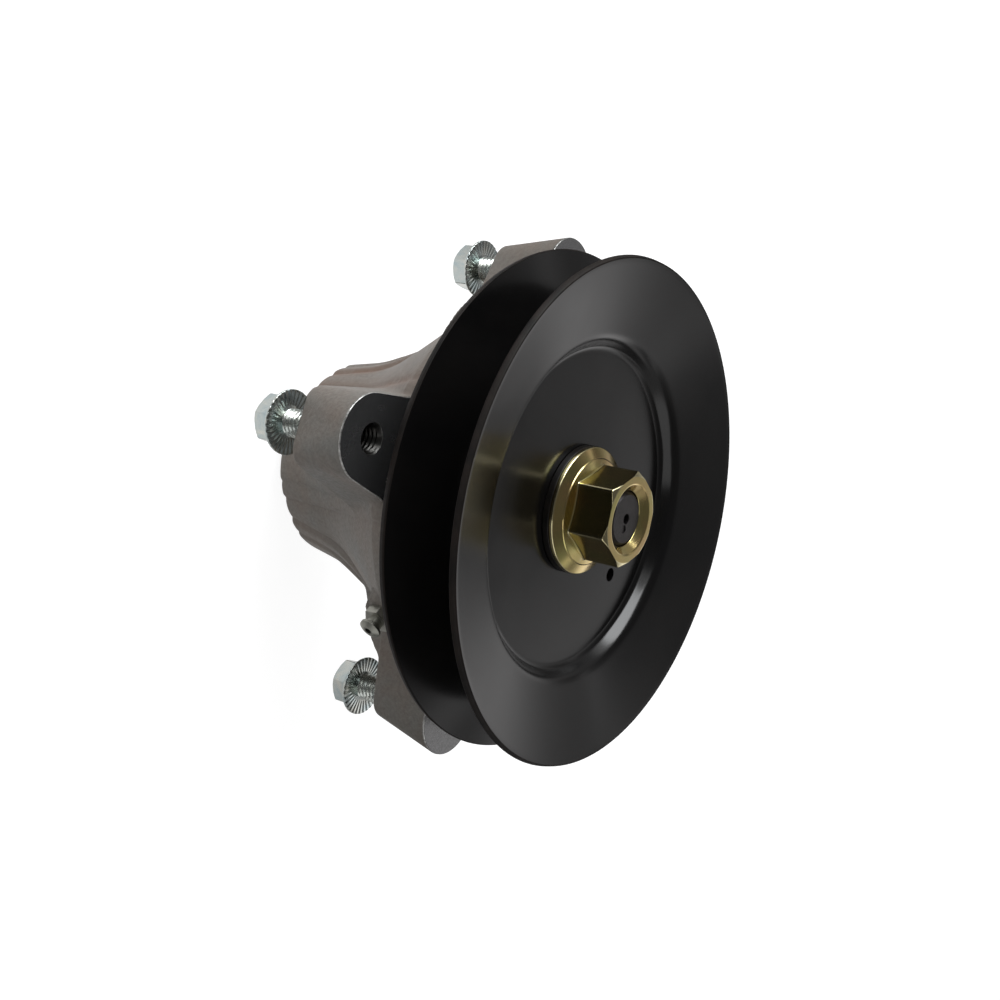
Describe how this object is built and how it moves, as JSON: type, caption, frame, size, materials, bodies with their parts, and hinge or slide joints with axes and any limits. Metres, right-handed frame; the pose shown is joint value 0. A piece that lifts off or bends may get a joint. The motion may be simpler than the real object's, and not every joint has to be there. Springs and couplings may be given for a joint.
{
  "type": "mower deck spindle assembly",
  "caption": "Mower deck spindle: cast aluminium four-ear housing, sealed ball bearings, black stamped V-belt pulley with flange nut, and flange bolts started in the ears.",
  "frame": {"origin": "on the shaft's axis, in the plane of the four ear faces that meet the deck", "axes": "+Z along the shaft from the blade end to the pulley nut; the ears lie along X and Y"},
  "size_m": [0.1594, 0.1594, 0.1281],
  "materials": {
    "cast_aluminium": "as cast, fine grain",
    "pulley_paint": "semi-gloss black",
    "washer_black": "black oxide",
    "yellow_zinc": "yellow chromate zinc plate",
    "shaft_steel": "turned and darkened",
    "bolt_zinc": "clear zinc plate",
    "fitting_zinc": "clear zinc plate",
    "shield_zinc": "zinc plate",
    "bearing_steel": "ground",
    "cage_nylon": "moulded",
    "seal_rubber": "moulded"
  },
  "bodies": {
    "housing": {"housing": "cast_aluminium", "grease_fitting": "fitting_zinc", "deck_bolt_a": "bolt_zinc", "deck_bolt_b": "bolt_zinc", "deck_bolt_c": "bolt_zinc", "deck_bolt_d": "bolt_zinc", "upper_outer_race": "bearing_steel", "lower_outer_race": "bearing_steel", "upper_seal_top": "seal_rubber", "upper_seal_bottom": "seal_rubber", "lower_seal_top": "seal_rubber", "lower_seal_bottom": "seal_rubber"},
    "spindle": {"spindle_shaft": "shaft_steel", "pulley_front_half": "pulley_paint", "pulley_rear_half": "pulley_paint", "nut_washer": "washer_black", "pulley_nut": "yellow_zinc", "pulley_spacer": "shaft_steel", "bearing_spacer": "shaft_steel", "upper_dust_shield": "shield_zinc", "lower_dust_shield": "shield_zinc", "upper_inner_race": "bearing_steel", "lower_inner_race": "bearing_steel"},
    "upper_cage": {"upper_cage": "cage_nylon", "upper_balls": "bearing_steel"},
    "lower_cage": {"lower_cage": "cage_nylon", "lower_balls": "bearing_steel"}
  },
  "joints": [
    {"name": "shaft_spin", "type": "hinge", "parent": "housing", "child": "spindle", "pos_m": [0, 0, 0], "axis": [0, 0, 1], "continuous": true},
    {"name": "upper_cage_spin", "type": "hinge", "parent": "housing", "child": "upper_cage", "pos_m": [0, 0, 0.018], "axis": [0, 0, 1], "continuous": true},
    {"name": "lower_cage_spin", "type": "hinge", "parent": "housing", "child": "lower_cage", "pos_m": [0, 0, -0.0356], "axis": [0, 0, 1], "continuous": true}
  ],
  "couplings": [
    {"joint": "upper_cage_spin", "follows": "shaft_spin", "ratio": 0.3815},
    {"joint": "lower_cage_spin", "follows": "shaft_spin", "ratio": 0.3815}
  ]
}
